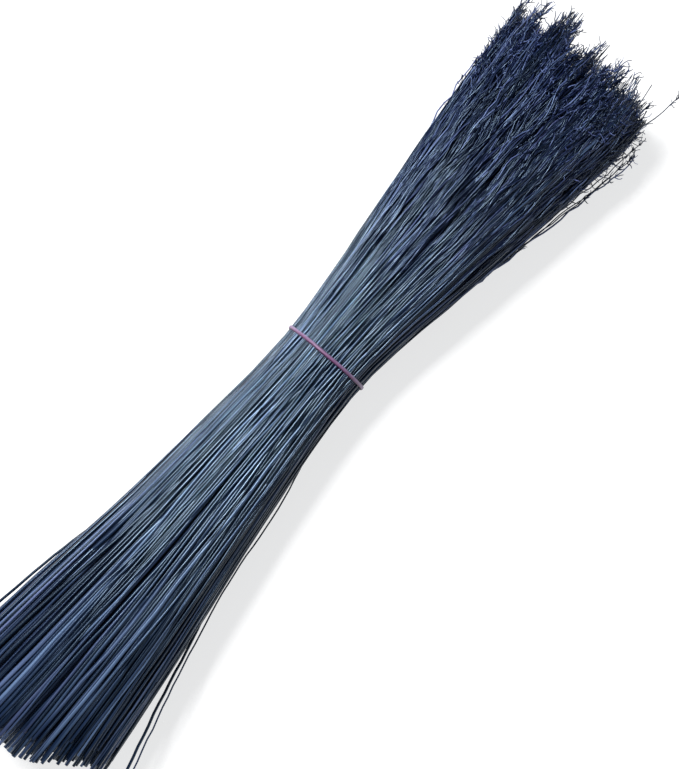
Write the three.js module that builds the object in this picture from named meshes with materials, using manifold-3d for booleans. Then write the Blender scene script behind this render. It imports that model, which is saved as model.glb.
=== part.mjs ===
// A bundle of dyed broom corn, tied at the middle with one thin elastic band and lying on a flat surface.
//
// Broom corn is a kind of sorghum. Each stalk is a straw about 2 mm thick at its cut end, which thins out
// along its length and ends in a brush of fine twigs. About 900 of them are gathered here. The band draws
// them into a round waist, and on both sides of it they fan out again, so the bundle is an hourglass. Where
// the fans lie on the surface they are pressed flat.
//
// Every stalk is a piece of its own, too many and too thin to be solids one by one. They are modelled as
// 39 locks, each the form of the 20 or so stalks that run side by side in it, from their cut ends to the
// tips of their brush. The locks in the outer ring show their outermost stalks as ribs, each with its own
// length at both ends. A few stalks that stray from the bundle are joined to the lock they leave.
//
// Millimetres. X runs along the bundle towards the brush, Z is up, and the surface is at Z = 0.

import * as THREE from "three";
import Module from "manifold-3d";

// The bundle as a whole.

const BUTT_LENGTH = 312; // from the band to the cut ends
const BRUSH_LENGTH = 286; // from the band to the longest tips
const WAIST_RADIUS = 30; // of the round bundle under the band
const WAIST_CENTRE_HEIGHT = 34; // so the waist hangs a little above the surface, between its two fans
const RISE = 0.54; // how much a fan opens upwards, as a share of how much it opens to each side
const PRESS = 4; // how far below the surface a fan would sag if it weren't there
const RESTS_FROM = 0.3; // share of a fan's length at which it has come down to the surface
const FLATTENING = 3.4; // power of a fan's lower outline where it is flattest, where 2 is round
const FLATTEST_FROM = 0.8; // share of a fan's length at which it is
const TWIST = 0.16; // radians that the stalks turn about the centre line from end to end

// The fans. Each entry is a distance from the band, half the bundle's width there, and how far its centre
// line has swung towards -Y, because the bundle isn't quite straight.

const BUTT_FAN = [
  [20, 30, 0],
  [46, 32, 0.5],
  [97, 37, 1],
  [148, 42.5, 2.5],
  [198, 50, 3],
  [250, 56.5, 3],
  [312, 64, 4],
];
const BRUSH_FAN = [
  [10, 30, 0],
  [46, 34.5, 0.3],
  [100, 42, 1.8],
  [153, 48.8, 2.3],
  [208, 55, 3.2],
  [230, 56.8, 4],
  [286, 56, 4],
];

// The elastic band.

const BAND_WIDTH = 1.8;
const BAND_THICKNESS = 1.2;
const BAND_ROUNDING = 0.4;
const BAND_CLEARANCE = 0.35; // between the band and the ribs it presses on
const BAND_SEGMENTS = 44;

// The locks, ring by ring from the middle. Each ring is as thick as gives all locks the same number of
// stalks.

const RING_COUNTS = [1, 6, 12, 20];
const RING_NAMES = ["centre_stalks", "ring_1_stalks", "ring_2_stalks", "ring_3_stalks"];
const OUTER_RING = RING_COUNTS.length - 1;
const LOCK_UNEVENNESS = 0.12; // of the angles between locks, as a share of a lock
const CENTRE_CORNERS = 7;
const RIBS_PER_LOCK = 4;
const RIB_FLAT = [0.28, 0.72]; // where a rib's outer face lies within its share of the lock
const RIB_DEPTH = 1.1;
const STATIONS = [-215, -128, -52, 0, 55, 130, 210]; // the places along X that all locks' outlines pass
const HALF_GAP = 0.35; // from a lock's side to the middle of the gap beside it, near the waist
const END_HALF_GAP = 1.3; // the same at both ends, where the fans have opened
const GAP_OPENS_FROM = 90; // distance from the band at which the gaps begin to open
const NARROWEST = 0.4; // what a gap leaves of a lock at the least

// The ends of the locks. The stalks were gathered by hand, so no two ends are level.

const BUTT_UNEVENNESS = 9;
const BUTT_NOTCH = 7; // depth between two neighbouring stalks' cut ends
const BRUSH_UNEVENNESS = 13;
const BRUSH_NOTCH = 24; // depth between two neighbouring tufts of the brush
const INNER_NOTCH = 0.6; // the most that a corner inside the bundle is notched, as a share of those depths
const TUFT_LENGTH = 30; // how far before its tips a lock begins to narrow
const TUFT_WIDTH = 0.62; // a lock's width at its tips, as a share of its width behind them
const SHORTER_AT_LEFT = 22; // how much shorter the brush is at its +Y side than at the middle
const SHORTER_AT_RIGHT = 36; // the same at its -Y side

// The stalks that stray from the bundle: the lock in the outer ring that each leaves, its radius at both
// ends, and its route. A point of the route is a place along X, how far outside the bundle's outline it
// lies, and its angle round the bundle in degrees.

const STRAY_SIDES = 5;
const STRAY_STEPS = 8;
const STRAYS = [
  { lock: 16, radius: [0.6, 0.7], route: [[-45, -4, 182], [-150, 1, 181], [-220, 5, 181], [-308, 18, 181]] },
  { lock: 16, radius: [0.9, 1.1], route: [[-150, -4, 185], [-200, 1, 184], [-250, 6, 184], [-309, 13, 183]] },
  { lock: 6, radius: [0.8, 1], route: [[-150, -4, 0], [-205, 2, 1], [-250, 3.5, 2], [-300, 4, 3]] },
  { lock: 16, radius: [0.9, 0.6], route: [[105, -4, 184], [155, 2, 183], [198, 6, 183], [241, 9, 182]] },
  { lock: 15, radius: [0.8, 0.5], route: [[183, -4, 168], [226, 1, 167], [255, 3, 166], [284, 6, 165]] },
  { lock: 6, radius: [0.8, 0.6], route: [[115, -5, 0], [168, 2, 1], [216, 3, 2], [252, 2, 2]] },
];

const STALK_COLOUR = 0x3b4a66;
const BAND_COLOUR = 0x8d6f92;

const wasm = await Module();
wasm.setup();
const random = seededRandom(7);

// Randomness, the same on every run

function seededRandom(seed) {
  let state = seed;
  return () => {
    state = (Math.imul(state, 1664525) + 1013904223) >>> 0;
    return state / 2 ** 32;
  };
}

function spread(amount) {
  return (2 * random() - 1) * amount;
}

// The bundle's form

function fanAt(fan, distance) {
  const next = fan.findIndex(([reached]) => reached > distance);
  if (next === 0) return { halfWidth: fan[0][1], swing: fan[0][2] };
  if (next < 0) return { halfWidth: fan.at(-1)[1], swing: fan.at(-1)[2] };
  const [near, far] = [fan[next - 1], fan[next]];
  const between = (distance - near[0]) / (far[0] - near[0]);
  return {
    halfWidth: THREE.MathUtils.lerp(near[1], far[1], between),
    swing: THREE.MathUtils.lerp(near[2], far[2], between),
  };
}

// The bundle's section at x: its centre, its half width, and how far it reaches up and down. A section is
// round at the waist. Towards an end its lower half grows squarer, because the stalks lie on the surface.
function sectionAt(x) {
  const { halfWidth, swing } = fanAt(x < 0 ? BUTT_FAN : BRUSH_FAN, Math.abs(x));
  const share = Math.min(x < 0 ? -x / BUTT_LENGTH : x / BRUSH_LENGTH, 1);
  const resting = THREE.MathUtils.smoothstep(share, 0, RESTS_FROM);
  return {
    centreY: -swing,
    halfWidth,
    rise: THREE.MathUtils.lerp(WAIST_RADIUS, halfWidth, RISE),
    drop: THREE.MathUtils.lerp(WAIST_RADIUS, WAIST_CENTRE_HEIGHT + PRESS, resting),
    lowerPower: THREE.MathUtils.lerp(2, FLATTENING, THREE.MathUtils.smoothstep(share, 0, FLATTEST_FROM)),
  };
}

// The point of the bundle at x that lies at this angle and share of the way out from the centre line, moved
// outwards by some millimetres.
function bundlePoint(x, angle, share, outwards = 0) {
  const section = sectionAt(x);
  const turned = angle + (TWIST * x) / (BUTT_LENGTH + BRUSH_LENGTH);
  const [across, up] = [Math.cos(turned), Math.sin(turned)];
  const power = up < 0 ? section.lowerPower : 2;
  const reach = share * (Math.abs(across) ** power + Math.abs(up) ** power) ** (-1 / power);
  const height = up < 0 ? section.drop : section.rise;
  return new THREE.Vector3(
    x,
    section.centreY + across * (reach * section.halfWidth + outwards),
    WAIST_CENTRE_HEIGHT + up * (reach * height + outwards),
  );
}

// Closed surfaces

// A surface through a row of outlines with the same number of corners, closed over the middle point of each
// end. A four-sided face is parted along its shorter diagonal, so two locks side by side are parted alike.
function loft(outlines, firstMiddle, lastMiddle) {
  const corners = outlines[0].length;
  const points = [...outlines.flat(), firstMiddle, lastMiddle];
  const [first, last] = [points.length - 2, points.length - 1];
  const lastRow = (outlines.length - 1) * corners;
  const faces = [];
  for (let corner = 0; corner < corners; corner++) {
    const next = (corner + 1) % corners;
    faces.push(first, next, corner);
    for (let row = 0; row < lastRow; row += corners) {
      const [a, b, c, d] = [row + corner, row + next, row + corners + next, row + corners + corner];
      if (points[b].distanceTo(points[d]) < points[a].distanceTo(points[c])) faces.push(a, b, d, b, c, d);
      else faces.push(a, b, c, a, c, d);
    }
    faces.push(last, lastRow + corner, lastRow + next);
  }
  const geometry = new THREE.BufferGeometry().setFromPoints(points);
  geometry.setIndex(faces);
  geometry.computeVertexNormals();
  return geometry;
}

function solidOf(geometry) {
  const mesh = new wasm.Mesh({
    numProp: 3,
    vertProperties: geometry.getAttribute("position").array,
    triVerts: new Uint32Array(geometry.getIndex().array),
  });
  return new wasm.Manifold(mesh);
}

function joined(geometries) {
  const mesh = geometries
    .map(solidOf)
    .reduce((whole, solid) => whole.add(solid))
    .getMesh();
  const geometry = new THREE.BufferGeometry();
  geometry.setAttribute("position", new THREE.BufferAttribute(mesh.vertProperties, mesh.numProp));
  geometry.setIndex(new THREE.BufferAttribute(mesh.triVerts, 1));
  geometry.computeVertexNormals();
  return geometry;
}

// Locks

// The share of the bundle's radius at which a ring begins, so that every lock has an equal share of the
// bundle's section.
function ringStart(ring) {
  const sum = (counts) => counts.reduce((total, count) => total + count, 0);
  return Math.sqrt(sum(RING_COUNTS.slice(0, ring)) / sum(RING_COUNTS));
}

// The angles at which a ring is parted into its locks. The outer ring's first lock lies squarely under the
// bundle.
function spokesOf(ring) {
  const step = (2 * Math.PI) / RING_COUNTS[ring];
  const spokes = [];
  for (let index = 0; index < RING_COUNTS[ring]; index++) {
    const uneven = ring === OUTER_RING && index < 2 ? 0 : spread(LOCK_UNEVENNESS);
    spokes.push(-Math.PI / 2 + (index - 0.5 + uneven) * step);
  }
  spokes.push(spokes[0] + 2 * Math.PI);
  return spokes;
}

// The corners of a lock's outline, each with its angle, its share of the bundle's radius, how far inside
// the outline it lies, and the rib it belongs to.
function cornersOf(ring, from, to) {
  const corners = [];
  const add = (share, part, inset = 0, rib = null) => {
    corners.push({ angle: THREE.MathUtils.lerp(from, to, part), share, inset, rib });
  };
  const [inside, outside] = [ringStart(ring), ringStart(ring + 1)];
  if (ring === 0) {
    for (let corner = 0; corner < CENTRE_CORNERS; corner++) add(outside, corner / CENTRE_CORNERS);
    return corners;
  }
  if (ring === OUTER_RING) {
    for (let rib = 0; rib < RIBS_PER_LOCK; rib++) {
      add(outside, rib / RIBS_PER_LOCK, RIB_DEPTH);
      for (const edge of RIB_FLAT) add(outside, (rib + edge) / RIBS_PER_LOCK, 0, rib);
    }
    add(outside, 1, RIB_DEPTH);
  } else {
    for (const part of [0, 0.5, 1]) add(outside, part);
  }
  for (const part of [1, 0.5, 0]) add(inside, part);
  return corners;
}

// A lock's mean lengths on both sides of the band.
function lockLengths(angle, share) {
  const side = Math.cos(angle) * share;
  const shorter = (side > 0 ? SHORTER_AT_LEFT : SHORTER_AT_RIGHT) * side ** 2;
  return {
    butt: BUTT_LENGTH - BUTT_UNEVENNESS + spread(BUTT_UNEVENNESS / 2),
    brush: BRUSH_LENGTH - BRUSH_UNEVENNESS - shorter + spread(BRUSH_UNEVENNESS / 2),
  };
}

// Where each corner of a lock ends on both sides. The two corners of a rib share their stalk's length. The
// corners between ribs are notches.
function cornerLengths(corners, lock) {
  const ribs = [];
  for (let rib = 0; rib < RIBS_PER_LOCK; rib++) {
    ribs.push({
      butt: lock.butt + spread(BUTT_UNEVENNESS / 2),
      brush: lock.brush + spread(BRUSH_UNEVENNESS / 2),
    });
  }
  return corners.map(({ rib, inset }) => {
    if (rib !== null) return ribs[rib];
    const notched = inset > 0 ? 1 : random() * INNER_NOTCH;
    return { butt: lock.butt - notched * BUTT_NOTCH, brush: lock.brush - notched * BRUSH_NOTCH };
  });
}

// The place of a lock's corner at x, drawn in by half the gap to its neighbours. Nothing reaches below the
// surface, so the lowest locks are flat where they lie on it.
function cornerPoint(x, corner, middle, width) {
  const angle = THREE.MathUtils.lerp(middle.angle, corner.angle, width);
  const share = THREE.MathUtils.lerp(middle.share, corner.share, width);
  const point = bundlePoint(x, angle, share, -corner.inset);
  const centre = bundlePoint(x, middle.angle, middle.share);
  const opened = THREE.MathUtils.smoothstep(Math.abs(x), GAP_OPENS_FROM, BRUSH_LENGTH);
  const gap = THREE.MathUtils.lerp(HALF_GAP, END_HALF_GAP, opened);
  const left = Math.max(1 - gap / point.distanceTo(centre), NARROWEST);
  point.lerpVectors(centre, point, left);
  point.z = Math.max(point.z, 0);
  return point;
}

function lockGeometry(ring, from, to) {
  const corners = cornersOf(ring, from, to);
  const middle = {
    angle: (from + to) / 2,
    share: ring === 0 ? 0 : (ringStart(ring) + ringStart(ring + 1)) / 2,
  };
  const lock = lockLengths(middle.angle, middle.share);
  const ends = cornerLengths(corners, lock);
  const outlines = [
    corners.map((corner, index) => cornerPoint(-ends[index].butt, corner, middle, 1)),
    ...[...STATIONS, lock.brush - TUFT_LENGTH].map((x) =>
      corners.map((corner) => cornerPoint(x, corner, middle, 1)),
    ),
    corners.map((corner, index) => cornerPoint(ends[index].brush, corner, middle, TUFT_WIDTH)),
  ];
  const buttMiddle = bundlePoint(BUTT_NOTCH - lock.butt, middle.angle, middle.share);
  const brushMiddle = bundlePoint(lock.brush - BRUSH_NOTCH, middle.angle, middle.share);
  return loft(outlines, buttMiddle, brushMiddle);
}

// Strays

function strayGeometry({ radius, route }) {
  const curve = new THREE.CatmullRomCurve3(
    route.map(([x, outwards, degrees]) => bundlePoint(x, THREE.MathUtils.degToRad(degrees), 1, outwards)),
  );
  const frames = curve.computeFrenetFrames(STRAY_STEPS, false);
  const outlines = frames.tangents.map((_, step) => {
    const thickness = THREE.MathUtils.lerp(radius[0], radius[1], step / STRAY_STEPS);
    const centre = curve.getPointAt(step / STRAY_STEPS);
    return Array.from({ length: STRAY_SIDES }, (_, side) => {
      const turn = (2 * Math.PI * side) / STRAY_SIDES;
      return centre
        .clone()
        .addScaledVector(frames.normals[step], thickness * Math.cos(turn))
        .addScaledVector(frames.binormals[step], thickness * Math.sin(turn));
    });
  });
  return loft(outlines, curve.getPointAt(0), curve.getPointAt(1));
}

// The band

// Its profile, as distances from the centre line and along it, turned round the bundle.
function bandGeometry() {
  const inner = WAIST_RADIUS + BAND_CLEARANCE;
  const outer = inner + BAND_THICKNESS;
  const half = BAND_WIDTH / 2;
  const profile = [
    [inner, -half],
    [outer - BAND_ROUNDING, -half],
    [outer, BAND_ROUNDING - half],
    [outer, half - BAND_ROUNDING],
    [outer - BAND_ROUNDING, half],
    [inner, half],
    [inner, -half],
  ];
  return new THREE.LatheGeometry(
    profile.map(([distance, along]) => new THREE.Vector2(distance, along)),
    BAND_SEGMENTS,
  );
}

// Assembly

const stalkMaterial = new THREE.MeshStandardMaterial({ color: STALK_COLOUR, roughness: 0.55, metalness: 0 });
const bandMaterial = new THREE.MeshStandardMaterial({ color: BAND_COLOUR, roughness: 0.6, metalness: 0 });

const bundle = new THREE.Group();

RING_COUNTS.forEach((count, ring) => {
  const spokes = spokesOf(ring);
  for (let number = 1; number <= count; number++) {
    const body = lockGeometry(ring, spokes[number - 1], spokes[number]);
    const strays = STRAYS.filter(({ lock }) => ring === OUTER_RING && lock === number);
    const geometry = strays.length > 0 ? joined([body, ...strays.map(strayGeometry)]) : body;
    const mesh = new THREE.Mesh(geometry, stalkMaterial);
    const suffix = count > 1 ? `_${String(number).padStart(2, "0")}` : "";
    mesh.name = RING_NAMES[ring] + suffix;
    bundle.add(mesh);
  }
});

const band = new THREE.Mesh(bandGeometry(), bandMaterial);
band.name = "elastic_band";
band.rotation.z = -Math.PI / 2;
band.position.set(0, 0, WAIST_CENTRE_HEIGHT);
bundle.add(band);

// The origin is on the surface, at the middle of the bundle's footprint.

bundle.updateMatrixWorld(true);
const footprint = new THREE.Box3().setFromObject(bundle, true).getCenter(new THREE.Vector3());
bundle.position.set(-footprint.x, -footprint.y, 0);

const part = new THREE.Group();
part.add(bundle);

export default part;
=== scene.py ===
from math import cos, pi, radians, sin

import bmesh
import bpy
import numpy as np
from mathutils import Matrix, Vector


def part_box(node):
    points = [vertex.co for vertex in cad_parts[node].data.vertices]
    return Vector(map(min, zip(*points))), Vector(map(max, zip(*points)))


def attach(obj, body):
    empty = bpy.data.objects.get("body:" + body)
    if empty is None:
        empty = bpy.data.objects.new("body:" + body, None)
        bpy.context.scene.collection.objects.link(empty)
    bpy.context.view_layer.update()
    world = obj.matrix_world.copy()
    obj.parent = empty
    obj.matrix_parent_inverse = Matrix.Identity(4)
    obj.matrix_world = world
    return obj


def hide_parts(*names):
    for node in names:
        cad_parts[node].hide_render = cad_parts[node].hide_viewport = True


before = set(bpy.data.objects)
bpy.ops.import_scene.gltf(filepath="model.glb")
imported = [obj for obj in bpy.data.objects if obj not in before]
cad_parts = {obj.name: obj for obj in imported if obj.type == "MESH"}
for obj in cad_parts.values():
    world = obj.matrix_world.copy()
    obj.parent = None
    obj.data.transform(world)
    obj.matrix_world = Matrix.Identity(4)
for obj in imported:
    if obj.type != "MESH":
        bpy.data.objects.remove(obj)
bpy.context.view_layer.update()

# The gathered bundle. Loose stalks of broom corn are drawn into a round waist by the band and fan out on
# both sides of it, pressed flat underneath where they lie. Every stalk keeps to this form. Millimetres,
# with X measured from the band towards the brush and Z from the surface that the bundle lies on.

BUTT_LENGTH = 312
BRUSH_LENGTH = 286
WAIST_RADIUS = 30
WAIST_CENTRE_HEIGHT = 34
ROUND = 2  # power of a round outline
RISE = 0.54  # how much a fan opens upwards, as a share of how much it opens sideways
PRESS = 4  # how far below the surface a fan would sag
RESTS_FROM = 0.3  # share of a fan's length at which it reaches the surface
FLATTENING = 3.4  # power of a fan's lower outline where it is flattest
FLATTEST_FROM = 0.8  # share of its length from which it is so
TWIST = 0.16  # radians, from end to end
BUTT_FAN = np.array(  # distance from the band, half width, swing towards -Y
    [(20, 30, 0), (46, 32, 0.5), (97, 37, 1), (148, 42.5, 2.5), (198, 50, 3), (250, 56.5, 3), (312, 64, 4)]
)
BRUSH_FAN = np.array(
    [
        (10, 30, 0), (46, 34.5, 0.3), (100, 42, 1.8), (153, 48.8, 2.3), (208, 55, 3.2),
        (230, 57.2, 4), (250, 58.1, 3.3), (286, 58.5, 2.4),
    ]
)
FAN_SOFTNESS = 41  # millimetres over which a fan's corners are rounded off
BEYOND = 20  # millimetres that the form is carried on past both ends
ALONG = np.arange(-BUTT_LENGTH - BEYOND, BRUSH_LENGTH + BEYOND + 1)


def along_bundle(column):
    """One column of the two fans, millimetre by millimetre, with its corners rounded off."""
    raw = np.where(
        ALONG < 0,
        np.interp(-ALONG, BUTT_FAN[:, 0], BUTT_FAN[:, column]),
        np.interp(ALONG, BRUSH_FAN[:, 0], BRUSH_FAN[:, column]),
    )
    window = np.hanning(FAN_SOFTNESS + 2)[1:-1]
    padded = np.pad(raw, FAN_SOFTNESS // 2, mode="reflect", reflect_type="odd")
    return np.convolve(padded, window / window.sum(), mode="valid")


def smoothstep(value, low, high):
    """Rises softly from 0 to 1 between two limits."""
    share = np.clip((value - low) / (high - low), 0, 1)
    return share * share * (3 - 2 * share)


HALF_WIDTHS = along_bundle(1)
SWINGS = along_bundle(2)


def section_at(x):
    """The bundle's section: centre, half width, reach upwards and downwards, and power of the lower half."""
    share = np.where(x < 0, -x / BUTT_LENGTH, x / BRUSH_LENGTH)
    half_width = np.interp(x, ALONG, HALF_WIDTHS)
    resting = smoothstep(share, 0, RESTS_FROM)
    rise = WAIST_RADIUS + (half_width - WAIST_RADIUS) * RISE
    drop = WAIST_RADIUS + (WAIST_CENTRE_HEIGHT + PRESS - WAIST_RADIUS) * resting
    power = ROUND + (FLATTENING - ROUND) * smoothstep(share, 0, FLATTEST_FROM)
    return -np.interp(x, ALONG, SWINGS), half_width, rise, drop, power


def bundle_point(x, angle, share, outwards=0.0):
    """Y and Z of the point at this angle and share of the way out from the centre line."""
    centre, half_width, rise, drop, lower = section_at(x)
    turned = angle + TWIST * x / (BUTT_LENGTH + BRUSH_LENGTH)
    across, up = np.cos(turned), np.sin(turned)
    power = np.where(up < 0, lower, ROUND)
    reach = share * (np.abs(across) ** power + np.abs(up) ** power) ** (-1 / power)
    y = centre + across * (reach * half_width + outwards)
    z = WAIST_CENTRE_HEIGHT + up * (reach * np.where(up < 0, drop, rise) + outwards)
    return np.stack([y, z], axis=-1)


def keep_inside(x, yz, margin):
    """Pulls points back to the bundle's outline, widened by a margin."""
    centre, half_width, rise, drop, lower = section_at(x)
    across = yz[..., 0] - centre
    height = yz[..., 1] - WAIST_CENTRE_HEIGHT
    power = np.where(height < 0, lower, ROUND)
    reach = np.where(height < 0, drop, rise)
    share = (
        np.abs(across / (half_width + margin)) ** power + np.abs(height / (reach + margin)) ** power
    ) ** (1 / power)
    pull = 1 / np.maximum(share, 1)
    return np.stack([centre + across * pull, WAIST_CENTRE_HEIGHT + height * pull], axis=-1)


# The stalks. Dried sorghum stems, cut to length at the thick end and dyed blue in the bundle. They are
# gathered by hand, so they lean in small groups and cross a little, and each lies against its neighbours.

LOCK_COUNTS = (1, 6, 12, 20)  # the model groups the stalks in rings of locks
LOCK_NAMES = ("centre_stalks", "ring_1_stalks", "ring_2_stalks", "ring_3_stalks")
STALKS_PER_LOCK = 24
STALK_TOTAL = STALKS_PER_LOCK * sum(LOCK_COUNTS)
GOLDEN_ANGLE = pi * (3 - 5**0.5)
ANGLE_SPREAD = 0.02  # radians
BUTT_RADIUS = (1.15, 0.28)  # mean and spread
BUTT_RADIUS_LIMITS = (0.65, 2.0)
WAIST_SLIMMING = 0.69  # a stalk's radius under the band, as a share of that at its cut end
TIP_RADIUS = 0.3
THINNING_LENGTH = 230  # millimetres above the band over which a stalk thins out to its tip
THINNING_POWER = 0.8
LEAN_WAVES = 9  # waves of leaning that run through the bundle's section
LEAN_LENGTHS = (0.25, 0.7)  # how long they are, in half widths of the bundle
LEAN = (9.0, 8.0)  # millimetres that groups of stalks lean at the cut ends and in the brush
TURN = (0.18, 0.12)  # radians that single stalks turn about the bundle on their way to each end
TURN_POWER = 0.6  # below 1, so that they turn most near the band
STRAYING = (3.0, 2.0)  # millimetres that they wander from there
STATIONS = np.array([-312, -262, -212, -162, -112, -70, -35, 0, 35, 70, 112, 162, 212, 252, 286])
SETTLING_ROUNDS = 24  # at each of these places along the bundle
SETTLING_PUSH = 0.3  # share of an overlap that one round undoes
STANDING_OUT = 0.3  # millimetres that a stalk may stand out of the bundle's outline
SINKING = (1.5, 1.6)  # most millimetres that it may be held below this, and how rare they are
OUTWARDS = 1.03  # the stalks are strewn slightly too wide, so that the outermost line the outline

rng = np.random.default_rng(11)


def uneven(most, rareness, shape):
    """Random amounts up to the most, of which fewer are large where the rareness is higher."""
    return most * rng.random(shape) ** rareness


number = np.arange(STALK_TOTAL)
stalk_share = np.sqrt((number + 0.5) / STALK_TOTAL)
stalk_angle = (number * GOLDEN_ANGLE + rng.normal(0, ANGLE_SPREAD, STALK_TOTAL)) % (2 * pi)
butt_radius = np.clip(rng.normal(*BUTT_RADIUS, STALK_TOTAL), *BUTT_RADIUS_LIMITS)
stalk_sunk = uneven(*SINKING, STALK_TOTAL)
stalk_lock = np.zeros(STALK_TOTAL, int)
first_lock, first_stalk = 0, 0
for count in LOCK_COUNTS:
    inside = (number >= first_stalk) & (number < first_stalk + count * STALKS_PER_LOCK)
    sector = np.round((stalk_angle + pi / 2) / (2 * pi) * count).astype(int) % count
    stalk_lock[inside] = first_lock + sector[inside]
    first_lock += count
    first_stalk += count * STALKS_PER_LOCK


def stalk_radius(x, butt):
    """A stalk's radius at x, from its radius at the cut end."""
    waist = butt * WAIST_SLIMMING
    brush = waist + (TIP_RADIUS - waist) * np.clip(x / THINNING_LENGTH, 0, 1) ** THINNING_POWER
    return np.where(x < 0, waist + (butt - waist) * (-x / BUTT_LENGTH), brush)


def leaning(spots, scale):
    """Smooth shifts of neighbouring stalks, which crowd them in some places and part them in others."""
    shift = np.zeros_like(spots)
    for _ in range(LEAN_WAVES):
        heading, phase = rng.uniform(0, 2 * pi, 2)
        length = rng.uniform(*LEAN_LENGTHS)
        way = np.array((cos(heading), sin(heading)))
        shift += np.sin(spots @ way * 2 * pi / length + phase)[:, None] * way * length
    return shift * scale / (LEAN_LENGTHS[1] * LEAN_WAVES**0.5)


def settle(x, spots, radii):
    """Pushes the stalks apart at one place along the bundle, within its outline."""
    touching = (radii[:, None] + radii[None, :]).astype(np.float32)
    np.fill_diagonal(touching, 0)
    spots = spots.astype(np.float32)
    for _ in range(SETTLING_ROUNDS):
        away = spots[:, None] - spots[None, :]
        distance = np.sqrt((away**2).sum(2)) + 1e-6  # a stalk is never at no distance from itself
        overlap = np.clip(touching - distance, 0, None) / distance
        spots += SETTLING_PUSH * (away * overlap[..., None]).sum(1)
        margin = STANDING_OUT - radii - stalk_sunk
        spots = keep_inside(np.array(float(x)), spots, margin).astype(np.float32)
        spots[:, 1] = np.maximum(spots[:, 1], radii)
    return spots


unit_spots = stalk_share[:, None] * np.stack([np.cos(stalk_angle), np.sin(stalk_angle)], axis=1)
leans = [leaning(unit_spots, LEAN[end]) + rng.normal(0, STRAYING[end], unit_spots.shape) for end in (0, 1)]
turns = [rng.normal(0, TURN[end], STALK_TOTAL) for end in (0, 1)]
station_spots = []
for station in STATIONS:
    end = 0 if station < 0 else 1
    share = abs(station) / (BUTT_LENGTH, BRUSH_LENGTH)[end]
    angles = stalk_angle + turns[end] * share**TURN_POWER
    spots = bundle_point(float(station), angles, stalk_share * OUTWARDS)
    spots = spots + share * leans[end]
    station_spots.append(settle(station, spots, stalk_radius(station, butt_radius)))
station_spots = np.stack(station_spots, axis=1)


def follow(places, values, x):
    """Each row's value at its own x, on a smooth curve through its values at the places."""
    slopes = np.gradient(values, places, axis=1)
    before = np.clip(np.searchsorted(places, x, side="right") - 1, 0, len(places) - 2)
    step = (places[before + 1] - places[before])[..., None]
    part = (x - places[before])[..., None] / step
    rows = np.arange(len(values))[:, None]
    start, end = values[rows, before], values[rows, before + 1]
    leave, arrive = slopes[rows, before] * step, slopes[rows, before + 1] * step
    return (
        start * (1 + part * part * (2 * part - 3))
        + end * part * part * (3 - 2 * part)
        + leave * part * (1 - part) ** 2
        + arrive * part * part * (part - 1)
    )


WAVE_STEP = 13  # millimetres between the bends of a crooked stalk
BUTT_CROOKEDNESS = 0.35
BRUSH_CROOKEDNESS = 2.1
CROOKED_BETWEEN = (25, 230)  # distances above the band between which it grows crooked
NEIGHBOURS_SHARE = 2.4  # keeps the bends as large when each is mixed with its neighbours
bends = np.arange(-BUTT_LENGTH, BRUSH_LENGTH + WAVE_STEP, WAVE_STEP, dtype=float)
stalk_path = follow(STATIONS.astype(float), station_spots, np.tile(bends, (STALK_TOTAL, 1)))
crooked = rng.normal(0, 1, stalk_path.shape)
crooked[:, 1:-1] = (crooked[:, :-2] + 2 * crooked[:, 1:-1] + crooked[:, 2:]) / NEIGHBOURS_SHARE
amount = np.where(
    bends < 0,
    BUTT_CROOKEDNESS * -bends / BUTT_LENGTH,
    BRUSH_CROOKEDNESS * smoothstep(bends, *CROOKED_BETWEEN),
)
stalk_path += crooked * amount[:, None]
stalk_path = keep_inside(bends, stalk_path, -TIP_RADIUS)

# How far each stalk reaches. The cut ends are nearly level, and a little shorter at the right side. The
# brush follows the outline of its tufts, from the right side of the bundle to the left.

CUT_LINE = np.array(  # place across the bundle, how much shorter the stalks are there
    [(-66, 22), (-49, 19), (-38, 14), (-20, 5), (-6, 0)]
)
TUFTS = np.array(  # place across the bundle, length of the brush there
    [
        (-64, 248), (-61, 261), (-54, 263), (-48, 273), (-42, 261), (-38, 273), (-29, 260), (-23, 269),
        (-14, 260), (-6, 276), (1, 262), (6, 250), (11, 263), (16, 272), (22, 278), (26, 275), (30, 260),
        (34, 250), (39, 271), (44, 271), (47, 260), (51, 270), (56, 275), (61, 269), (64, 255),
    ]
)
MEASURED_AT = (-300.0, 255.0)  # where along the bundle both of these places are read
CUT_UNEVENNESS = (18, 1.8)  # most millimetres that a stalk is short of its line, and how rare they are
TIP_UNEVENNESS = (26, 1.3)
VISIBLE_FROM = 0.78  # share of the radius outside which a stalk is seen, and is made finer
STRAW, TWIG, PITH = range(3)  # the order of the materials on each lock

cut_across, tip_across = [
    follow(bends, stalk_path, np.full((STALK_TOTAL, 1), place))[:, 0, 0] for place in MEASURED_AT
]
stalk_butt = -BUTT_LENGTH + np.interp(cut_across, *CUT_LINE.T) + uneven(*CUT_UNEVENNESS, STALK_TOTAL)
stalk_tip = np.interp(tip_across, *TUFTS.T) - uneven(*TIP_UNEVENNESS, STALK_TOTAL)
shown = stalk_share > VISIBLE_FROM


def stalk_tubes(chosen, rings, sides):
    """The chosen stalks, each a tube with so many rings from its cut end to its tip."""
    x = stalk_butt[chosen, None] + np.linspace(0, 1, rings) * (stalk_tip - stalk_butt)[chosen, None]
    yz = follow(bends, stalk_path[chosen], x)
    radii = stalk_radius(x, butt_radius[chosen, None])
    yz[..., 1] = np.maximum(yz[..., 1], radii)
    points = np.concatenate([x[..., None], yz], axis=2)
    return {"points": points, "radii": radii, "sides": sides, "stalk": chosen, "material": STRAW}


batches = [
    stalk_tubes(np.nonzero(shown)[0], rings=26, sides=6),
    stalk_tubes(np.nonzero(~shown)[0], rings=18, sides=5),
]

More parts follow.
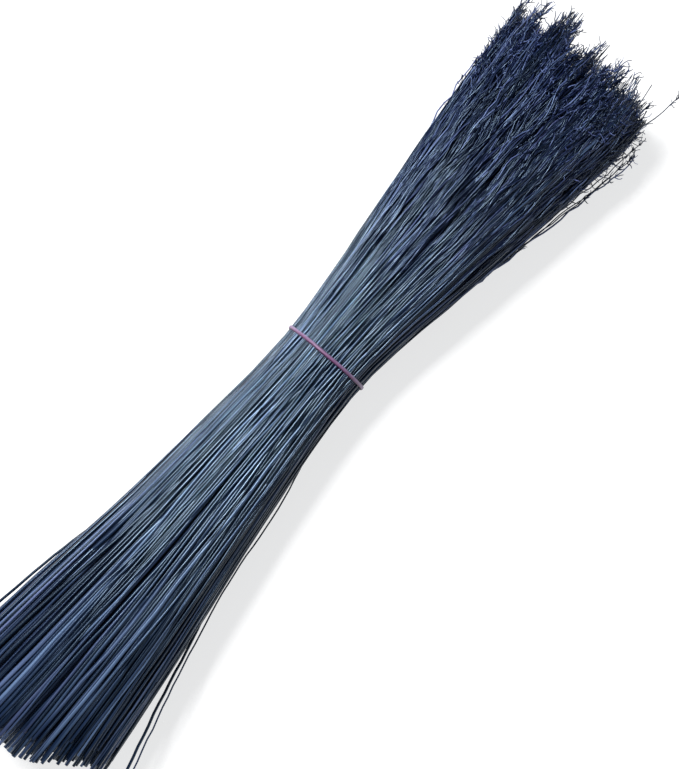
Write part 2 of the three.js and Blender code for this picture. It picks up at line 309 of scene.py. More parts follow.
# The brush. Above the band each stem splits into fine crinkled fibres that run on beside it, and these end
# in short hooked twigs, where the seeds were combed off. They are softer and darker than the straw.

FIBRE_RADIUS = (0.5, 0.32)  # where it leaves its stem, and at its tip
FIBRE_SLIMNESS = (0.75, 1.2)
SPLITS_FROM = 28  # millimetres above the band
SPLITTING = (110, 0.9)  # most millimetres on from there, and how rare they are
FIBRE_SHORTNESS = (34, 1.5)  # most millimetres that it ends before its stem, and how rare they are
FIBRE_SPREAD = 1.6  # millimetres that it lies off its stem
PARTING_LENGTH = 55  # millimetres over which it parts from its stem
CRINKLE = 0.5  # millimetres of small bends
WANDERING = 1.6  # millimetres of large ones
WANDER_BENDS = 7
CRINKLED_BETWEEN = (40, 240)  # distances above the band between which both grow
LOOSE = 0.5  # how far outside the bundle's outline a fibre may lie
FIBRE_SINKING = (3.5, 1.5)  # most that another is drawn in below this, and how rare it is
HIDDEN_BELOW = 0.5  # share of the radius inside which a stalk is hardly seen


def fibre_tubes(chosen, per_stalk, rings):
    """Crinkled fibres that leave the chosen stems above the band and run on beside them."""
    owner = np.repeat(chosen, per_stalk)
    total = len(owner)
    start = SPLITS_FROM + uneven(*SPLITTING, total)
    end = stalk_tip[owner] - uneven(*FIBRE_SHORTNESS, total)
    x = start[:, None] + np.linspace(0, 1, rings) * (end - start)[:, None]
    apart = 1 - np.exp(-(x - start[:, None]) / PARTING_LENGTH)
    offset = rng.normal(0, 1, (total, 1, 2)) * FIBRE_SPREAD
    crinkles = rng.normal(0, 1, (total, rings, 2))
    crinkles[:, 0] = 0
    wander = rng.normal(0, 1, (total, WANDER_BENDS, 2))
    wander[:, 0] = 0
    wander = follow(np.linspace(0, 1, WANDER_BENDS), wander, np.tile(np.linspace(0, 1, rings), (total, 1)))
    growth = smoothstep(x, *CRINKLED_BETWEEN)[..., None]
    yz = follow(bends, stalk_path[owner], x) + offset * apart[..., None]
    limit = LOOSE - uneven(*FIBRE_SINKING, (total, 1))
    yz = keep_inside(x, yz + crinkles * CRINKLE * growth + wander * WANDERING * growth, limit)
    yz[..., 1] = np.maximum(yz[..., 1], FIBRE_RADIUS[0])
    points = np.concatenate([x[..., None], yz], axis=2)
    slimness = rng.uniform(*FIBRE_SLIMNESS, (total, 1))
    radii = (FIBRE_RADIUS[0] + (FIBRE_RADIUS[1] - FIBRE_RADIUS[0]) * np.linspace(0, 1, rings)) * slimness
    return {"points": points, "radii": radii, "sides": 3, "stalk": owner, "material": TWIG}


TWIG_RADIUS = (0.42, 0.24)  # at its root and at its tip
TWIG_SLIMNESS = (0.75, 1.25)
TWIG_STEPS = 5
BUNCH = 3  # twigs that grow from one spot
TWIG_SPREAD = 0.5  # how far a twig turns from its fibre
TWIG_CURL = 0.5  # how sharply it turns at each step
TWIG_FORWARDS = (0.3, 0, 0)  # how far it turns back at each step to the way that the brush points
TWIG_REACH = 0.7  # share of a fibre that may carry twigs
TWIG_CLEARANCE = 1.3  # least height of its middle, in radii of its root


def twig_tubes(fibres, total, shortest, longest, back):
    """Short hooked twigs that grow from the fibres, mostly within some millimetres back from their tips."""
    bunches = total // BUNCH
    total = bunches * BUNCH
    rows = np.repeat(rng.integers(0, len(fibres["points"]), bunches), BUNCH)
    paths = fibres["points"][rows]
    tips = paths[:, -1, 0]
    reach = (tips - paths[:, 0, 0]) * TWIG_REACH
    root_x = tips - np.minimum(np.repeat(rng.exponential(back, bunches), BUNCH), reach)
    last = paths.shape[1] - 1
    before = np.clip((paths[:, :, 0] <= root_x[:, None]).sum(axis=1) - 1, 0, last - 1)
    near, far = paths[np.arange(total), before], paths[np.arange(total), before + 1]
    part = ((root_x - near[:, 0]) / (far[:, 0] - near[:, 0]))[:, None]
    root = near + (far - near) * part

    heading = (far - near) / np.linalg.norm(far - near, axis=1, keepdims=True)
    heading = heading + rng.normal(0, TWIG_SPREAD, (total, 3))
    step = rng.uniform(shortest, longest, (total, 1)) / (TWIG_STEPS - 1)
    points = [root]
    for _ in range(TWIG_STEPS - 1):
        heading = heading / np.linalg.norm(heading, axis=1, keepdims=True)
        points.append(points[-1] + heading * step)
        heading = heading + rng.normal(0, TWIG_CURL, (total, 3)) + TWIG_FORWARDS
    points = np.stack(points, axis=1)
    points[..., 2] = np.maximum(points[..., 2], TWIG_CLEARANCE * TWIG_RADIUS[0])
    radii = np.linspace(*TWIG_RADIUS, TWIG_STEPS)[None] * rng.uniform(*TWIG_SLIMNESS, (total, 1))
    return {"points": points, "radii": radii, "sides": 3, "stalk": fibres["stalk"][rows], "material": TWIG}


half_hidden = (stalk_share > HIDDEN_BELOW) & ~shown
fine_fibres = fibre_tubes(np.nonzero(shown)[0], per_stalk=6, rings=24)
inner_fibres = fibre_tubes(np.nonzero(half_hidden)[0], per_stalk=5, rings=12)
hidden_fibres = fibre_tubes(np.nonzero(stalk_share <= HIDDEN_BELOW)[0], per_stalk=3, rings=9)
batches += [
    fine_fibres,
    inner_fibres,
    hidden_fibres,
    twig_tubes(fine_fibres, total=6300, shortest=4, longest=11, back=12),
    twig_tubes(inner_fibres, total=2400, shortest=3, longest=9, back=9),
    twig_tubes(hidden_fibres, total=900, shortest=3, longest=9, back=7),
]

# The strays. A few stalks that have sprung loose from the outside of the bundle: long straws beside the cut
# ends, and thin crooked ones with side twigs at the edges of the brush.

STRAYS = (  # lock in the outer ring, radius at both ends, route of place, distance outside, degrees round
    (
        16,
        (0.55, 0.5),
        ((-308, 18, 181), (-250, 9.8, 181), (-205, 4, 181), (-150, 1, 181), (-92, 2.2, 182), (-45, -3, 182)),
    ),
    (16, (1.0, 0.85), ((-309, 13.5, 183), (-262, 8, 184), (-221, 2.9, 184), (-190, 0, 185), (-150, -4, 185))),
    (6, (1.0, 0.8), ((-300, 3.5, 3), (-250, 2.5, 2), (-205, 0.8, 1), (-150, -4, 0))),
    (16, (0.8, 0.4), ((85, -3.5, 184), (122, 1, 184), (155, 3.2, 183), (198, 6.4, 183), (241, 9.3, 182))),
    (16, (0.5, 0.3), ((95, -3.5, 182), (130, 0.8, 182), (165, 3.1, 181), (205, 5.6, 181), (240, 6.8, 180))),
    (16, (0.5, 0.3), ((100, -3, 180), (138, 1, 180), (170, 2, 180), (200, 4.6, 180), (228, 6, 180))),
    (16, (0.5, 0.3), ((150, -4, 186), (185, 0.5, 186), (212, 2.5, 186), (250, 4, 185))),
    (15, (0.6, 0.3), ((183, -4, 168), (226, -0.5, 167), (262, 1, 166), (286, 6.5, 165))),
    (6, (0.6, 0.4), ((115, -5, 0), (168, 0.5, 1), (203, 1.5, 2), (224, 0.6, 2))),
)
STRAY_STEP = 7  # millimetres between its bends
STRAY_CROOKEDNESS = (0.15, 0.6)  # beside the cut ends and beside the brush
first_outer_lock = sum(LOCK_COUNTS[:-1])
for order, (outer_lock, radius, route) in enumerate(STRAYS):
    places, outwards, degrees = np.array(route, float).T
    rings = round((places[-1] - places[0]) / STRAY_STEP)
    x = np.linspace(places[0], places[-1], rings)
    course = follow(places, np.stack([outwards, degrees], axis=1)[None], x[None])[0]
    yz = bundle_point(x, np.radians(course[:, 1]), 1, course[:, 0])
    in_brush = int(places[0] > 0)
    yz += rng.normal(0, STRAY_CROOKEDNESS[in_brush], yz.shape)
    radii = np.linspace(*radius, rings)
    yz[:, 1] = np.maximum(yz[:, 1], radii)
    stray = {
        "points": np.concatenate([x[:, None], yz], axis=1)[None],
        "radii": radii[None],
        "sides": 6,
        "stalk": np.array([STALK_TOTAL + order]),
        "material": TWIG if in_brush else STRAW,
    }
    batches.append(stray)
    stalk_lock = np.append(stalk_lock, first_outer_lock + outer_lock - 1)
    if in_brush:
        batches.append(twig_tubes(stray, total=15, shortest=3, longest=9, back=22))

# The locks. The stalks lie in groups of two dozen, dyed straw with pale pith in its cut ends, and only the
# band holds them. All strands of a lock are one mesh of closed round tubes with a flat face at each end.

MM = 0.001
UV_LAYER = "OFBake"  # every tube has a strip of its own in this map, with its cut faces at both ends
WALL_START, WALL_LENGTH = 0.02, 0.96  # shares of a strip's length
STRIP_START, STRIP_WIDTH = 0.08, 0.84  # shares of its width
CAP_MIDDLES = (0.01, 0.99)
CAP_SIZE = (0.008, 0.4)
SHADE_RARENESS = 1.3  # how rare pale stalks are
PAINTED_LIGHT_AT_LEFT = 0.12  # painted light: stalks on the bundle's left side, where the light falls, are made paler
PAINTED_SHADE_AT_EDGE = 0.15  # painted shade: how much darker the stalks are made at the bundle's brightly lit left edge
EDGE_FROM = 0.78  # share of the way out to it
STRAY_SHADE = 0.4  # strays took the dye more deeply
PAINTED_SHADE_AT_BAND = (0.22, 0.13)  # painted shade: how much darker the stalks are made round the band, on the side of each end
PALE_LENGTHS = (120, 260)  # distances from the band between which this fades out
STEM_SHADE = 0.55  # share of its stem's shade that a fibre or twig takes over
FIBRE_DEEPER = 0.02
FIBRE_SHADE = 0.28  # mean of what it has of its own


def tube_mesh(batch, rows, first_vertex, first_strip, strips):
    """The vertices, faces and map of some of a batch's tubes, each on a strip of its own in the map."""
    points, radii, sides = batch["points"][rows], batch["radii"][rows], batch["sides"]
    tubes, rings = radii.shape
    tangent = np.gradient(points, axis=1)
    across = np.cross(tangent, (0, 0, 1))
    across /= np.linalg.norm(across, axis=2, keepdims=True)
    up = np.cross(across, tangent)
    up /= np.linalg.norm(up, axis=2, keepdims=True)
    turn = 2 * pi * np.arange(sides) / sides
    outward = across[:, :, None] * np.cos(turn)[:, None] + up[:, :, None] * np.sin(turn)[:, None]
    vertices = points[:, :, None] + radii[:, :, None, None] * outward

    index = np.arange(tubes * rings * sides).reshape(tubes, rings, sides) + first_vertex
    following = np.roll(index, -1, axis=2)
    walls = np.stack([index[:, :-1], index[:, 1:], following[:, 1:], following[:, :-1]], axis=-1)
    caps = np.stack([index[:, 0], index[:, -1, ::-1]], axis=1)

    strip = (first_strip + np.arange(tubes))[:, None, None]
    along = WALL_START + WALL_LENGTH * np.linspace(0, 1, rings)
    along = np.broadcast_to(along[None, :, None], index.shape)
    around = np.broadcast_to(np.arange(sides) / sides, index.shape)
    low = (strip + STRIP_START + STRIP_WIDTH * around) / strips
    high = (strip + STRIP_START + STRIP_WIDTH * (around + 1 / sides)) / strips
    wall_u = np.stack([along[:, :-1], along[:, 1:], along[:, 1:], along[:, :-1]], axis=-1)
    wall_v = np.stack([low[:, :-1], low[:, 1:], high[:, 1:], high[:, :-1]], axis=-1)
    both = np.stack([turn, turn[::-1]])
    cap_u = np.broadcast_to(np.array(CAP_MIDDLES)[:, None] + CAP_SIZE[0] * np.cos(both), caps.shape)
    cap_v = (strip + 0.5 + CAP_SIZE[1] * np.sin(both)[None]) / strips
    return vertices.reshape(-1, 3), walls.reshape(-1, 4), caps.reshape(-1, sides), (
        np.stack([wall_u, wall_v], axis=-1).reshape(-1, 2),
        np.stack([cap_u, cap_v], axis=-1).reshape(-1, 2),
    )


stray_total = len(stalk_lock) - STALK_TOTAL
stalk_side = np.append(stalk_share * np.cos(stalk_angle), np.zeros(stray_total))
# Each strand's shade of dye is random, plus painted light on the bundle's left side and painted shade at its
# left edge.
strand_shade = uneven(1, SHADE_RARENESS, len(stalk_lock)) + PAINTED_LIGHT_AT_LEFT * stalk_side
# painted shade on the outermost stalks at the left edge
strand_shade -= PAINTED_SHADE_AT_EDGE * smoothstep(stalk_side, EDGE_FROM, 1)
strand_shade[STALK_TOTAL:] *= STRAY_SHADE
strand_tone = rng.random(len(stalk_lock))
band_low, band_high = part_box("elastic_band")
band_centre = (band_low + band_high) / 2
PLACE = np.array([band_centre.x / MM, band_centre.y / MM, 0])


def lock_piece(name, lock, materials):
    """One lock's strands, with the shade of their dye and the painted light and shade at each vertex, and a
    tone for each strand.
    """
    chosen = [(batch, np.nonzero(stalk_lock[batch["stalk"]] == lock)[0]) for batch in batches]
    strips = sum(len(rows) for _, rows in chosen)
    vertices, loops, sizes, maps, kinds, smooth = [], [], [], [], [], []
    shades, tones = [], []
    first_vertex = first_strip = 0
    for batch, rows in chosen:
        corners, walls, caps, (wall_map, cap_map) = tube_mesh(batch, rows, first_vertex, first_strip, strips)
        vertices.append(corners)
        loops += [walls.ravel(), caps.ravel()]
        sizes += [np.full(len(walls), 4), np.full(len(caps), batch["sides"])]
        maps += [wall_map, cap_map]
        cap_kinds = np.tile([PITH if batch["material"] == STRAW else TWIG, batch["material"]], len(rows))
        kinds += [np.full(len(walls), batch["material"]), cap_kinds]
        smooth += [np.ones(len(walls), bool), np.zeros(len(caps), bool)]
        per_tube = batch["radii"].shape[1] * batch["sides"]
        shade, tone = strand_shade[batch["stalk"][rows]], strand_tone[batch["stalk"][rows]]
        if batch["material"] == TWIG:
            shade = STEM_SHADE * shade - FIBRE_DEEPER + rng.exponential(FIBRE_SHADE, len(rows))
            tone = rng.random(len(rows))
        x = batch["points"][rows][..., 0]
        # painted shade: strands are made darker round the band, fading out towards both ends
        painted_band_shade = np.where(x < 0, *PAINTED_SHADE_AT_BAND) * (1 - smoothstep(np.abs(x), *PALE_LENGTHS))
        shades.append(np.repeat(shade[:, None] - painted_band_shade, batch["sides"], axis=1).ravel())
        tones.append(np.repeat(tone, per_tube))
        first_vertex += len(corners)
        first_strip += len(rows)
    vertices, loops, sizes = np.concatenate(vertices), np.concatenate(loops), np.concatenate(sizes)
    mesh = bpy.data.meshes.new(name)
    mesh.vertices.add(len(vertices))
    mesh.vertices.foreach_set("co", ((vertices + PLACE) * MM).ravel())
    mesh.loops.add(len(loops))
    mesh.loops.foreach_set("vertex_index", loops)
    mesh.polygons.add(len(sizes))
    mesh.polygons.foreach_set("loop_start", np.concatenate([[0], np.cumsum(sizes)[:-1]]))
    mesh.polygons.foreach_set("material_index", np.concatenate(kinds))
    mesh.polygons.foreach_set("use_smooth", np.concatenate(smooth))
    mesh.uv_layers.new(name=UV_LAYER).uv.foreach_set("vector", np.concatenate(maps).ravel())
    for attribute, values in (("shade", shades), ("tone", tones)):
        data = mesh.attributes.new(attribute, "FLOAT", "POINT").data
        data.foreach_set("value", np.concatenate(values).astype(np.float32))
    mesh.update(calc_edges=True)
    mesh.validate()
    for material in materials:
        mesh.materials.append(material)
    piece = bpy.data.objects.new(name, mesh)
    bpy.context.scene.collection.objects.link(piece)
    return piece


STREAK_STRETCH = (9, 2400, 1)  # streaks in the length of a tube's map and across the whole of it
STREAK_DETAIL = 3
# Blotches: partly uneven dye, partly painted shade of the hollows between clumps of strands.
BLOTCH_SIZE = 28
BLOTCH_STRETCH = (0.3, 1.8, 1.8)  # drawn out along the bundle, so that besides uneven dye they paint shade in long hollows between clumps
BLOTCH_DETAIL = 2
BLOTCH_STRENGTH = 0.7
SHADE_RANGE = (0.54, 1.48)  # sums of shade, blotch and streak between the deepest and the palest dye
GREENISH, PLAIN, VIOLET = (0.92, 1.0, 0.94, 1), (1, 1, 1, 1), (1.09, 0.97, 1.02, 1)
PLAIN_FROM, VIOLET_FROM = 0.18, 0.9  # shares of the strands


def ranged(tree, value, low, high):
    """A value's place between two limits, from 0 to 1."""
    node = tree.nodes.new("ShaderNodeMapRange")
    node.inputs["From Min"].default_value = low
    node.inputs["From Max"].default_value = high
    tree.links.new(value, node.inputs["Value"])
    return node.outputs["Result"]


def dye_and_shade_group():
    """Uneven dye and painted shade: each strand took the dye differently and it runs in streaks, the blotches
    partly paint shade in hollows, and the shade attribute carries painted light and shade.
    """
    group = bpy.data.node_groups.new("dye and painted shade", "ShaderNodeTree")
    for name in ("Deep", "Middle", "Pale"):
        group.interface.new_socket(name, in_out="INPUT", socket_type="NodeSocketColor")
    group.interface.new_socket("Streaks", in_out="INPUT", socket_type="NodeSocketFloat")
    group.interface.new_socket("Colour", in_out="OUTPUT", socket_type="NodeSocketColor")
    group.interface.new_socket("Streak", in_out="OUTPUT", socket_type="NodeSocketFloat")
    nodes, link = group.nodes, group.links.new
    given = nodes.new("NodeGroupInput")
    result = nodes.new("NodeGroupOutput")

    layout = nodes.new("ShaderNodeUVMap")
    layout.uv_map = UV_LAYER
    stretch = nodes.new("ShaderNodeMapping")
    stretch.inputs["Scale"].default_value = STREAK_STRETCH
    link(layout.outputs["UV"], stretch.inputs["Vector"])
    streaks = nodes.new("ShaderNodeTexNoise")
    streaks.inputs["Scale"].default_value = 1
    streaks.inputs["Detail"].default_value = STREAK_DETAIL
    link(stretch.outputs["Vector"], streaks.inputs["Vector"])

    # blotches of uneven dye that also stand in as painted shade of the hollows between clumps
    place = nodes.new("ShaderNodeTexCoord")
    blotches = nodes.new("ShaderNodeTexNoise")
    blotches.inputs["Scale"].default_value = BLOTCH_SIZE
    blotches.inputs["Detail"].default_value = BLOTCH_DETAIL
    drawn_out = nodes.new("ShaderNodeMapping")
    drawn_out.inputs["Scale"].default_value = BLOTCH_STRETCH
    link(place.outputs["Object"], drawn_out.inputs["Vector"])
    link(drawn_out.outputs["Vector"], blotches.inputs["Vector"])

    shade = nodes.new("ShaderNodeAttribute")
    shade.attribute_name = "shade"
    patchy = nodes.new("ShaderNodeMath")
    patchy.operation = "MULTIPLY_ADD"
    link(blotches.outputs["Fac"], patchy.inputs[0])
    patchy.inputs[1].default_value = BLOTCH_STRENGTH
    link(shade.outputs["Fac"], patchy.inputs[2])
    streaked = nodes.new("ShaderNodeMath")
    streaked.operation = "MULTIPLY_ADD"
    link(streaks.outputs["Fac"], streaked.inputs[0])
    link(given.outputs["Streaks"], streaked.inputs[1])
    link(patchy.outputs["Value"], streaked.inputs[2])
    paleness = ranged(group, streaked.outputs["Value"], *SHADE_RANGE)

    darker = nodes.new("ShaderNodeMix")
    darker.data_type = "RGBA"
    link(ranged(group, paleness, 0, 0.5), darker.inputs["Factor"])
    link(given.outputs["Deep"], darker.inputs["A"])
    link(given.outputs["Middle"], darker.inputs["B"])
    paler = nodes.new("ShaderNodeMix")
    paler.data_type = "RGBA"
    link(ranged(group, paleness, 0.5, 1), paler.inputs["Factor"])
    link(darker.outputs["Result"], paler.inputs["A"])
    link(given.outputs["Pale"], paler.inputs["B"])

    tone = nodes.new("ShaderNodeAttribute")
    tone.attribute_name = "tone"
    tints = nodes.new("ShaderNodeValToRGB")
    tints.color_ramp.interpolation = "CONSTANT"
    tints.color_ramp.elements[0].color = GREENISH
    tints.color_ramp.elements[1].position = PLAIN_FROM
    tints.color_ramp.elements[1].color = PLAIN
    tints.color_ramp.elements.new(VIOLET_FROM).color = VIOLET
    link(tone.outputs["Fac"], tints.inputs["Fac"])
    tinted = nodes.new("ShaderNodeMix")
    tinted.data_type = "RGBA"
    tinted.blend_type = "MULTIPLY"
    tinted.inputs["Factor"].default_value = 1
    link(paler.outputs["Result"], tinted.inputs["A"])
    link(tints.outputs["Color"], tinted.inputs["B"])
    link(tinted.outputs["Result"], result.inputs["Colour"])
    link(streaks.outputs["Fac"], result.inputs["Streak"])
    return group


dye_and_painted_shade = dye_and_shade_group()
SHINE = 0.5
SHINE_COLOUR = (0.55, 0.76, 1, 1)  # the dyed skin of a straw shines bluish
SMOOTHER, ROUGHER = 0.1, 0.12  # how far the streaks change the roughness
RIDGE_HEIGHT = 0.3 * MM


def strand_material(name, deep, middle, pale, streaks, roughness, bump):
    """Straw, twig or pith: three depths of dye, how strongly they streak, how rough and how ridged it is."""
    material = bpy.data.materials.new(name)
    material.use_nodes = True
    nodes, link = material.node_tree.nodes, material.node_tree.links.new
    shader = nodes["Principled BSDF"]
    shader.inputs["Specular IOR Level"].default_value = SHINE
    shader.inputs["Specular Tint"].default_value = SHINE_COLOUR
    # the group gives the dye's colour together with the painted light and shade
    dye = nodes.new("ShaderNodeGroup")
    dye.node_tree = dye_and_painted_shade
    dye.inputs["Deep"].default_value = (*deep, 1)
    dye.inputs["Middle"].default_value = (*middle, 1)
    dye.inputs["Pale"].default_value = (*pale, 1)
    dye.inputs["Streaks"].default_value = streaks
    link(dye.outputs["Colour"], shader.inputs["Base Color"])
    rough = nodes.new("ShaderNodeMapRange")
    rough.inputs["To Min"].default_value = roughness - SMOOTHER
    rough.inputs["To Max"].default_value = roughness + ROUGHER
    link(dye.outputs["Streak"], rough.inputs["Value"])
    link(rough.outputs["Result"], shader.inputs["Roughness"])
    ridges = nodes.new("ShaderNodeBump")
    ridges.inputs["Strength"].default_value = bump
    ridges.inputs["Distance"].default_value = RIDGE_HEIGHT
    link(dye.outputs["Streak"], ridges.inputs["Height"])
    link(ridges.outputs["Normal"], shader.inputs["Normal"])
    return material


straw = strand_material(
    "dyed straw",
    deep=(0.001, 0.004, 0.013),
    middle=(0.008, 0.017, 0.045),
    pale=(0.086, 0.124, 0.238),
    streaks=0.35,
    roughness=0.23,
    bump=0.4,
)
twig = strand_material(
    "dyed twigs",
    deep=(0.001, 0.003, 0.016),
    middle=(0.008, 0.014, 0.057),
    pale=(0.086, 0.115, 0.265),
    streaks=0.25,
    roughness=0.3,
    bump=0.25,
)
pith = strand_material(
    "cut pith",
    deep=(0.016, 0.024, 0.036),
    middle=(0.045, 0.060, 0.078),
    pale=(0.11, 0.13, 0.15),
    streaks=0.2,
    roughness=0.75,
    bump=0.3,
)

lock = 0
for ring_name, count in zip(LOCK_NAMES, LOCK_COUNTS):
    for place in range(1, count + 1):
        node = ring_name if count == 1 else f"{ring_name}_{place:02d}"
        piece = lock_piece(node + "_strands", lock, (straw, twig, pith))
        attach(piece, "root")
        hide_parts(node)
        lock += 1

# The elastic band. One thin mauve rubber band, stretched once round the waist, where it bites slightly
# between the straws. Its colour is darkened towards its edges as painted shade of its rounded sides.

BAND_RADIUS = 30.9
BAND_SECTION = (0.65, 1.2)  # half its thickness and half its width
BAND_STEPS = 180
BAND_SIDES = 12
BAND_SWAY = (  # its sideways waves: millimetres, waves round it, phase
    (-1.6, 1, 0), (0.15, 2, 2.2), (0.08, 7, 0.4),
)
BAND_MAP = np.array((0.45, 0.38))  # half its length and half its girth in the map
MOTTLE_SIZE = 260
MOTTLE_DETAIL = 4
DEEPER_MAUVE = (0.3, (0.17, 0.112, 0.20, 1))  # mottle up to which it holds, and colour
PALER_MAUVE = (0.75, (0.27, 0.19, 0.315, 1))  # mottle from which it holds, and colour
BAND_EDGE_SHADE = (0.09, 0.17)  # distances from the crown in the map between which the painted edge shade sets in
# painted shade: the colour the band darkens to at both edges
BAND_EDGE_SHADE_COLOUR = (0.085, 0.02, 0.075, 1)
BAND_ROUGHNESS = 0.5
GRAIN_STRENGTH = 0.3
GRAIN_HEIGHT = 0.1 * MM

shape = bmesh.new()
ring = bmesh.ops.create_circle(shape, segments=BAND_SIDES, radius=1)["verts"]
for corner in ring:
    corner.co = Vector((corner.co.y * BAND_SECTION[1], BAND_RADIUS + corner.co.x * BAND_SECTION[0], 0))
bmesh.ops.spin(
    shape,
    geom=ring + list(dict.fromkeys(edge for corner in ring for edge in corner.link_edges)),
    cent=(0, 0, 0),
    axis=(1, 0, 0),
    angle=2 * pi,
    steps=BAND_STEPS,
    use_merge=True,
)
bmesh.ops.remove_doubles(shape, verts=shape.verts, dist=0.001)
for corner in shape.verts:
    turn = np.arctan2(corner.co.z, corner.co.y)
    corner.co.x += sum(size * sin(waves * turn + phase) for size, waves, phase in BAND_SWAY)
bmesh.ops.recalc_face_normals(shape, faces=shape.faces)


def angles_on_band(point):
    """How far round the waist a point of the band lies, and how far round the band's own section."""
    off_middle = Vector((point.y, point.z)).length - BAND_RADIUS
    return np.array((np.arctan2(point.z, point.y), np.arctan2(point.x, off_middle)))


band_map = shape.loops.layers.uv.new(UV_LAYER)
for face in shape.faces:
    face.smooth = True
    middle = angles_on_band(face.calc_center_median())
    for loop in face.loops:
        angles = angles_on_band(loop.vert.co)
        angles += 2 * pi * np.round((middle - angles) / (2 * pi))  # no face reaches right round the map
        loop[band_map].uv = 0.5 + BAND_MAP * angles / pi
for corner in shape.verts:
    corner.co = (corner.co + Vector((PLACE[0], PLACE[1], WAIST_CENTRE_HEIGHT))) * MM
band_mesh = bpy.data.meshes.new("band")
shape.to_mesh(band_mesh)
shape.free()
band = bpy.data.objects.new("band", band_mesh)
bpy.context.scene.collection.objects.link(band)

rubber = bpy.data.materials.new("mauve rubber")
rubber.use_nodes = True
nodes, link = rubber.node_tree.nodes, rubber.node_tree.links.new
shader = nodes["Principled BSDF"]
place = nodes.new("ShaderNodeTexCoord")
mottle = nodes.new("ShaderNodeTexNoise")
mottle.inputs["Scale"].default_value = MOTTLE_SIZE
mottle.inputs["Detail"].default_value = MOTTLE_DETAIL
link(place.outputs["Object"], mottle.inputs["Vector"])
tones = nodes.new("ShaderNodeValToRGB")
for element, (position, colour) in zip(tones.color_ramp.elements, (DEEPER_MAUVE, PALER_MAUVE)):
    element.position = position
    element.color = colour
link(mottle.outputs["Fac"], tones.inputs["Fac"])
layout = nodes.new("ShaderNodeUVMap")
layout.uv_map = UV_LAYER
split = nodes.new("ShaderNodeSeparateXYZ")
link(layout.outputs["UV"], split.inputs["Vector"])
from_crown = nodes.new("ShaderNodeMath")
from_crown.operation = "SUBTRACT"
link(split.outputs["Y"], from_crown.inputs[0])
from_crown.inputs[1].default_value = 0.5
to_edge = nodes.new("ShaderNodeMath")
to_edge.operation = "ABSOLUTE"
link(from_crown.outputs["Value"], to_edge.inputs[0])
# painted shade along both edges of the band's rounded section
edge_shaded = nodes.new("ShaderNodeMix")
edge_shaded.data_type = "RGBA"
link(ranged(rubber.node_tree, to_edge.outputs["Value"], *BAND_EDGE_SHADE), edge_shaded.inputs["Factor"])
link(tones.outputs["Color"], edge_shaded.inputs["A"])
edge_shaded.inputs["B"].default_value = BAND_EDGE_SHADE_COLOUR
link(edge_shaded.outputs["Result"], shader.inputs["Base Color"])
shader.inputs["Roughness"].default_value = BAND_ROUGHNESS
grain = nodes.new("ShaderNodeBump")
grain.inputs["Strength"].default_value = GRAIN_STRENGTH
grain.inputs["Distance"].default_value = GRAIN_HEIGHT
link(mottle.outputs["Fac"], grain.inputs["Height"])
link(grain.outputs["Normal"], shader.inputs["Normal"])
band_mesh.materials.append(rubber)
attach(band, "root")
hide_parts("elastic_band")

# The studio. Plain white paper under the bundle, one soft light from above its left side, a weak one from
# the other side that softens the shadow, and a pale room round it. The lights are placed in metres.

PAPER_SIZE = 3  # metres from its middle to its edges
PAPER_GREY = (0.35, 0.35, 0.35, 1)
PAPER_GLOW = 0.7  # it stays white beside the dark bundle
ROOM_COLOUR = (0.86, 0.93, 1, 1)
ROOM_STRENGTH = 0.27
LIT_SPOT = Vector((0, 0, 0.04))

floor_shape = bmesh.new()
bmesh.ops.create_grid(floor_shape, x_segments=1, y_segments=1, size=PAPER_SIZE)
floor_mesh = bpy.data.meshes.new("floor")
floor_shape.to_mesh(floor_mesh)
floor_shape.free()
floor = bpy.data.objects.new("floor", floor_mesh)
bpy.context.scene.collection.objects.link(floor)
paper = bpy.data.materials.new("white paper")
paper.use_nodes = True
paper_shader = paper.node_tree.nodes["Principled BSDF"]
paper_shader.inputs["Base Color"].default_value = PAPER_GREY
paper_shader.inputs["Roughness"].default_value = 0.9
paper_shader.inputs["Emission Color"].default_value = (1, 1, 1, 1)
paper_shader.inputs["Emission Strength"].default_value = PAPER_GLOW
floor_mesh.materials.append(paper)

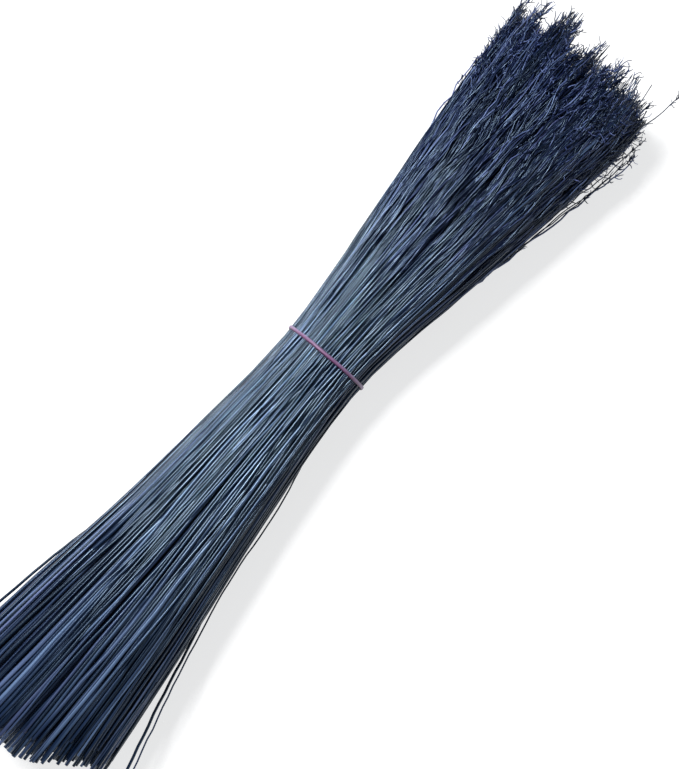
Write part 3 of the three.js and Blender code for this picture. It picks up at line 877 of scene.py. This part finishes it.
world = bpy.data.worlds.new("room")
world.use_nodes = True
world.node_tree.nodes["Background"].inputs["Color"].default_value = ROOM_COLOUR
world.node_tree.nodes["Background"].inputs["Strength"].default_value = ROOM_STRENGTH
bpy.context.scene.world = world


def soft_light(name, place, size, power):
    lamp = bpy.data.lights.new(name, "AREA")
    lamp.size = size
    lamp.energy = power
    light = bpy.data.objects.new(name, lamp)
    light.location = place
    light.rotation_euler = (LIT_SPOT - Vector(place)).to_track_quat("-Z", "Y").to_euler()
    bpy.context.scene.collection.objects.link(light)


soft_light("key", place=(0.1, 0.8, 1.3), size=0.38, power=40)
soft_light("fill", place=(-0.5, -1.1, 0.9), size=1.2, power=2)

# The camera stands almost straight above the bundle, a little towards the cut ends, and is turned so that
# the bundle runs from the lower left to the upper right, as in the photograph.

PICTURE = (679, 769)
BAND_PIXEL = (326, 358)  # where the photograph shows the middle of the band
AXIS_IN_PICTURE = Vector((0.65, 0.76)).normalized()  # the way the brush points, right and up
CAMERA_TILT = radians(6)
CAMERA_DISTANCE = 900  # millimetres
FOCAL_PIXELS = 1380
SENSOR = 36

forward = Vector((sin(CAMERA_TILT), 0, -cos(CAMERA_TILT)))
along_axis = Vector((cos(CAMERA_TILT), 0, sin(CAMERA_TILT)))
to_left = Vector((0, 1, 0))
right = AXIS_IN_PICTURE.x * along_axis - AXIS_IN_PICTURE.y * to_left
up = AXIS_IN_PICTURE.y * along_axis + AXIS_IN_PICTURE.x * to_left
off_centre = [(BAND_PIXEL[0] - PICTURE[0] / 2), (PICTURE[1] / 2 - BAND_PIXEL[1])]
target = Vector((PLACE[0], PLACE[1], WAIST_CENTRE_HEIGHT))
stand = target - forward * CAMERA_DISTANCE
stand -= (right * off_centre[0] + up * off_centre[1]) * CAMERA_DISTANCE / FOCAL_PIXELS
lens = bpy.data.cameras.new("camera")
lens.sensor_width = SENSOR
lens.lens = SENSOR * FOCAL_PIXELS / max(PICTURE)
camera = bpy.data.objects.new("camera", lens)
camera.matrix_world = Matrix.Translation(stand * MM) @ Matrix((right, up, -forward)).transposed().to_4x4()
bpy.context.scene.collection.objects.link(camera)
bpy.context.scene.camera = camera
bpy.context.scene.view_settings.view_transform = "Standard"
